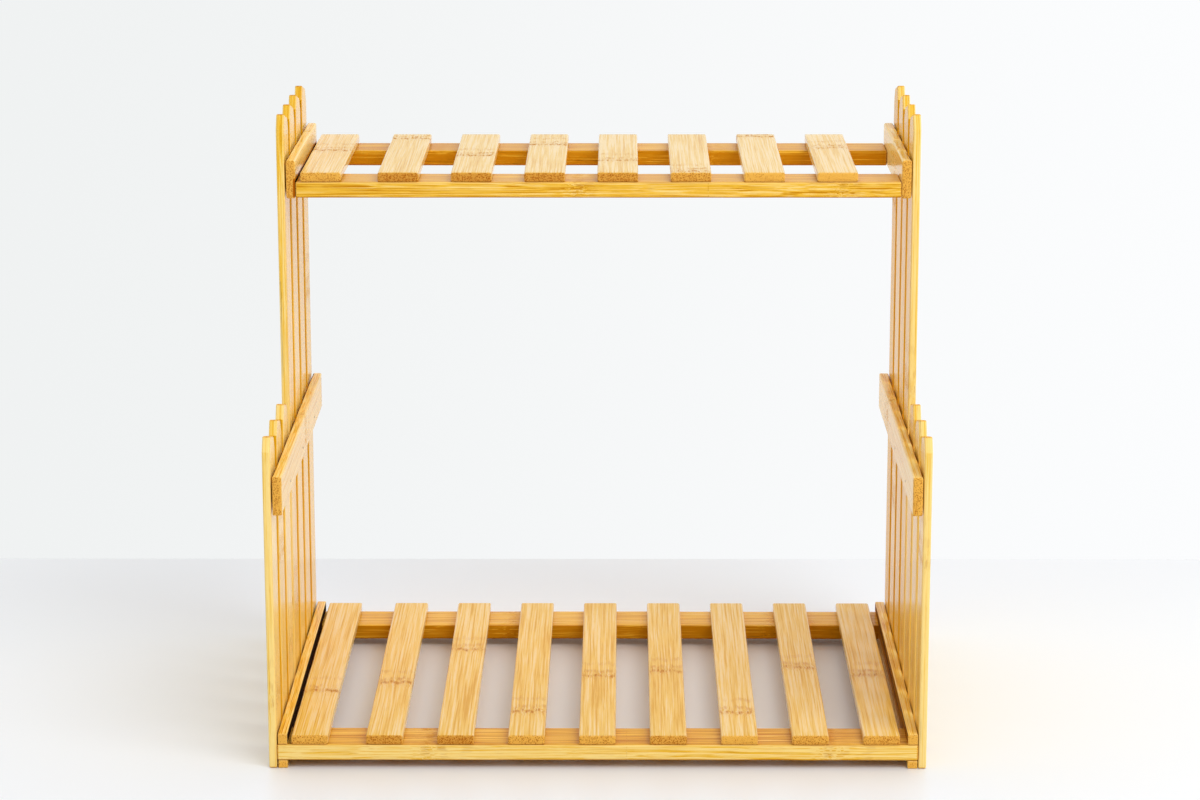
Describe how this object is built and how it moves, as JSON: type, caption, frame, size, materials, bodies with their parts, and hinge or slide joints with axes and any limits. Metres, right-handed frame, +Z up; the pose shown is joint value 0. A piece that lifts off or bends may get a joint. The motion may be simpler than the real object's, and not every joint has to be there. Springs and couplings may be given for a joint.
{
  "type": "two-tier slatted shelf",
  "caption": "Free-standing two-tier bamboo shelf with picket side panels, a deep slatted lower shelf and a shallower slatted upper shelf at the rear.",
  "frame": {"origin": "on the floor, under the middle of the shelf's width and depth", "axes": "+X to the right across the front, +Y from the front to the rear, +Z up"},
  "size_m": [0.4, 0.28, 0.3819],
  "materials": {
    "picket_bamboo": "clear satin lacquer",
    "rail_bamboo": "clear satin lacquer",
    "slat_bamboo": "clear satin lacquer",
    "brad_steel": "dull steel"
  },
  "bodies": {
    "root": {"left_picket_1": "picket_bamboo", "left_picket_2": "picket_bamboo", "left_picket_3": "picket_bamboo", "left_picket_4": "picket_bamboo", "left_picket_5": "picket_bamboo", "left_picket_6": "picket_bamboo", "left_picket_7": "picket_bamboo", "right_picket_1": "picket_bamboo", "right_picket_2": "picket_bamboo", "right_picket_3": "picket_bamboo", "right_picket_4": "picket_bamboo", "right_picket_5": "picket_bamboo", "right_picket_6": "picket_bamboo", "right_picket_7": "picket_bamboo", "left_bottom_rail": "rail_bamboo", "left_middle_rail": "rail_bamboo", "left_top_rail": "rail_bamboo", "right_bottom_rail": "rail_bamboo", "right_middle_rail": "rail_bamboo", "right_top_rail": "rail_bamboo", "lower_front_rail": "rail_bamboo", "lower_rear_rail": "rail_bamboo", "upper_front_rail": "rail_bamboo", "upper_rear_rail": "rail_bamboo", "lower_slat_1": "slat_bamboo", "lower_slat_2": "slat_bamboo", "lower_slat_3": "slat_bamboo", "lower_slat_4": "slat_bamboo", "lower_slat_5": "slat_bamboo", "lower_slat_6": "slat_bamboo", "lower_slat_7": "slat_bamboo", "lower_slat_8": "slat_bamboo", "lower_slat_9": "slat_bamboo", "upper_slat_1": "slat_bamboo", "upper_slat_2": "slat_bamboo", "upper_slat_3": "slat_bamboo", "upper_slat_4": "slat_bamboo", "upper_slat_5": "slat_bamboo", "upper_slat_6": "slat_bamboo", "upper_slat_7": "slat_bamboo", "upper_slat_8": "slat_bamboo", "left_panel_brads": "brad_steel", "right_panel_brads": "brad_steel", "lower_slat_brads": "brad_steel", "upper_slat_brads": "brad_steel", "lower_rail_brads": "brad_steel", "upper_rail_brads": "brad_steel"}
  },
  "joints": []
}
